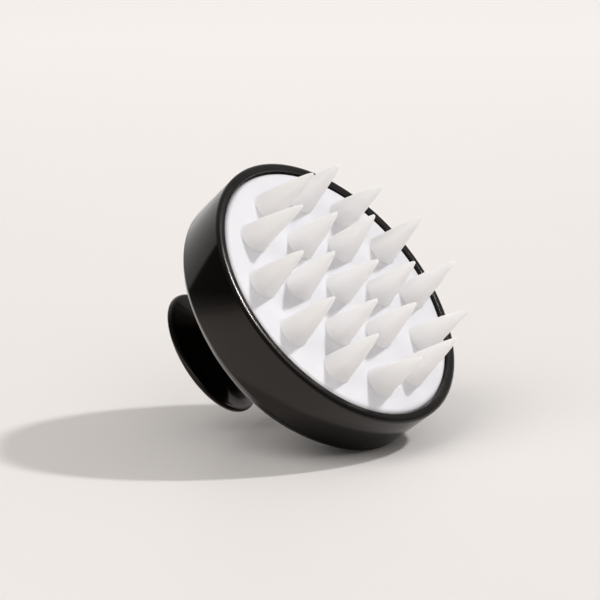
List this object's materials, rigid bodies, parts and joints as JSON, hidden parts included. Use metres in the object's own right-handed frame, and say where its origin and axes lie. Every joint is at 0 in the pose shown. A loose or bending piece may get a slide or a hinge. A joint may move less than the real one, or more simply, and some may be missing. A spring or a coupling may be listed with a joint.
{
  "type": "scalp massager brush",
  "caption": "Round hand-held scalp massager brush with a pad of soft leaning cone bristles and a slanted oval palm knob behind the head.",
  "frame": {"origin": "centre of the flat end face of the palm knob", "axes": "+Z along the head's axis, from the knob to the bristle tips; +X the way the knob is set off and slanted; the XZ plane is the mirror plane"},
  "size_m": [0.083, 0.083, 0.0646],
  "materials": {
    "shell": "gloss black moulded ABS",
    "handle": "gloss black moulded ABS",
    "cap": "satin black moulded ABS",
    "ring": "satin black moulded ABS",
    "pad": "matt white silicone",
    "bristle": "matt white silicone, slightly translucent",
    "inner_plate": "matt grey moulded ABS",
    "steel": "zinc-plated steel"
  },
  "bodies": {
    "brush_body": {"housing_shell": "shell", "retaining_ring": "ring", "bristle_pad": "pad", "support_plate": "inner_plate", "plate_screw_1": "steel", "plate_screw_2": "steel", "plate_screw_3": "steel", "handle_washer": "steel", "handle_screw": "steel", "handle_stem": "handle", "handle_cap": "cap"},
    "bristle_01": {"bristle_01": "bristle"},
    "bristle_02": {"bristle_02": "bristle"},
    "bristle_03": {"bristle_03": "bristle"},
    "bristle_04": {"bristle_04": "bristle"},
    "bristle_05": {"bristle_05": "bristle"},
    "bristle_06": {"bristle_06": "bristle"},
    "bristle_07": {"bristle_07": "bristle"},
    "bristle_08": {"bristle_08": "bristle"},
    "bristle_09": {"bristle_09": "bristle"},
    "bristle_10": {"bristle_10": "bristle"},
    "bristle_11": {"bristle_11": "bristle"},
    "bristle_12": {"bristle_12": "bristle"},
    "bristle_13": {"bristle_13": "bristle"},
    "bristle_14": {"bristle_14": "bristle"},
    "bristle_15": {"bristle_15": "bristle"},
    "bristle_16": {"bristle_16": "bristle"},
    "bristle_17": {"bristle_17": "bristle"},
    "bristle_18": {"bristle_18": "bristle"},
    "bristle_19": {"bristle_19": "bristle"}
  },
  "joints": [
    {"name": "bristle_01_lean", "type": "hinge", "parent": "brush_body", "child": "bristle_01", "pos_m": [-0.0114, 0, 0.0427], "axis": [0, 1, 0], "range_deg": [-20, 20]},
    {"name": "bristle_02_lean", "type": "hinge", "parent": "brush_body", "child": "bristle_02", "pos_m": [0.00237, 0.00795, 0.0427], "axis": [0, 1, 0], "range_deg": [-20, 20]},
    {"name": "bristle_03_lean", "type": "hinge", "parent": "brush_body", "child": "bristle_03", "pos_m": [-0.0114, 0.0159, 0.0427], "axis": [0, 1, 0], "range_deg": [-20, 20]},
    {"name": "bristle_04_lean", "type": "hinge", "parent": "brush_body", "child": "bristle_04", "pos_m": [-0.02517, 0.00795, 0.0427], "axis": [0, 1, 0], "range_deg": [-20, 20]},
    {"name": "bristle_05_lean", "type": "hinge", "parent": "brush_body", "child": "bristle_05", "pos_m": [-0.02517, -0.00795, 0.0427], "axis": [0, 1, 0], "range_deg": [-20, 20]},
    {"name": "bristle_06_lean", "type": "hinge", "parent": "brush_body", "child": "bristle_06", "pos_m": [-0.0114, -0.0159, 0.0427], "axis": [0, 1, 0], "range_deg": [-20, 20]},
    {"name": "bristle_07_lean", "type": "hinge", "parent": "brush_body", "child": "bristle_07", "pos_m": [0.00237, -0.00795, 0.0427], "axis": [0, 1, 0], "range_deg": [-20, 20]},
    {"name": "bristle_08_lean", "type": "hinge", "parent": "brush_body", "child": "bristle_08", "pos_m": [0.01397, 0.01465, 0.0427], "axis": [0, 1, 0], "range_deg": [-20, 20]},
    {"name": "bristle_09_lean", "type": "hinge", "parent": "brush_body", "child": "bristle_09", "pos_m": [0.00325, 0.02538, 0.0427], "axis": [0, 1, 0], "range_deg": [-20, 20]},
    {"name": "bristle_10_lean", "type": "hinge", "parent": "brush_body", "child": "bristle_10", "pos_m": [-0.0114, 0.0293, 0.0427], "axis": [0, 1, 0], "range_deg": [-20, 20]},
    {"name": "bristle_11_lean", "type": "hinge", "parent": "brush_body", "child": "bristle_11", "pos_m": [-0.02605, 0.02538, 0.0427], "axis": [0, 1, 0], "range_deg": [-20, 20]},
    {"name": "bristle_12_lean", "type": "hinge", "parent": "brush_body", "child": "bristle_12", "pos_m": [-0.03678, 0.01465, 0.0427], "axis": [0, 1, 0], "range_deg": [-20, 20]},
    {"name": "bristle_13_lean", "type": "hinge", "parent": "brush_body", "child": "bristle_13", "pos_m": [-0.0407, 0, 0.0427], "axis": [0, 1, 0], "range_deg": [-20, 20]},
    {"name": "bristle_14_lean", "type": "hinge", "parent": "brush_body", "child": "bristle_14", "pos_m": [-0.03678, -0.01465, 0.0427], "axis": [0, 1, 0], "range_deg": [-20, 20]},
    {"name": "bristle_15_lean", "type": "hinge", "parent": "brush_body", "child": "bristle_15", "pos_m": [-0.02605, -0.02538, 0.0427], "axis": [0, 1, 0], "range_deg": [-20, 20]},
    {"name": "bristle_16_lean", "type": "hinge", "parent": "brush_body", "child": "bristle_16", "pos_m": [-0.0114, -0.0293, 0.0427], "axis": [0, 1, 0], "range_deg": [-20, 20]},
    {"name": "bristle_17_lean", "type": "hinge", "parent": "brush_body", "child": "bristle_17", "pos_m": [0.00325, -0.02538, 0.0427], "axis": [0, 1, 0], "range_deg": [-20, 20]},
    {"name": "bristle_18_lean", "type": "hinge", "parent": "brush_body", "child": "bristle_18", "pos_m": [0.01397, -0.01465, 0.0427], "axis": [0, 1, 0], "range_deg": [-20, 20]},
    {"name": "bristle_19_lean", "type": "hinge", "parent": "brush_body", "child": "bristle_19", "pos_m": [0.0179, 0, 0.0427], "axis": [0, 1, 0], "range_deg": [-20, 20]}
  ],
  "couplings": [
    {"joint": "bristle_02_lean", "follows": "bristle_01_lean", "ratio": 1},
    {"joint": "bristle_03_lean", "follows": "bristle_01_lean", "ratio": 1},
    {"joint": "bristle_04_lean", "follows": "bristle_01_lean", "ratio": 1},
    {"joint": "bristle_05_lean", "follows": "bristle_01_lean", "ratio": 1},
    {"joint": "bristle_06_lean", "follows": "bristle_01_lean", "ratio": 1},
    {"joint": "bristle_07_lean", "follows": "bristle_01_lean", "ratio": 1},
    {"joint": "bristle_08_lean", "follows": "bristle_01_lean", "ratio": 1},
    {"joint": "bristle_09_lean", "follows": "bristle_01_lean", "ratio": 1},
    {"joint": "bristle_10_lean", "follows": "bristle_01_lean", "ratio": 1},
    {"joint": "bristle_11_lean", "follows": "bristle_01_lean", "ratio": 1},
    {"joint": "bristle_12_lean", "follows": "bristle_01_lean", "ratio": 1},
    {"joint": "bristle_13_lean", "follows": "bristle_01_lean", "ratio": 1},
    {"joint": "bristle_14_lean", "follows": "bristle_01_lean", "ratio": 1},
    {"joint": "bristle_15_lean", "follows": "bristle_01_lean", "ratio": 1},
    {"joint": "bristle_16_lean", "follows": "bristle_01_lean", "ratio": 1},
    {"joint": "bristle_17_lean", "follows": "bristle_01_lean", "ratio": 1},
    {"joint": "bristle_18_lean", "follows": "bristle_01_lean", "ratio": 1},
    {"joint": "bristle_19_lean", "follows": "bristle_01_lean", "ratio": 1}
  ]
}
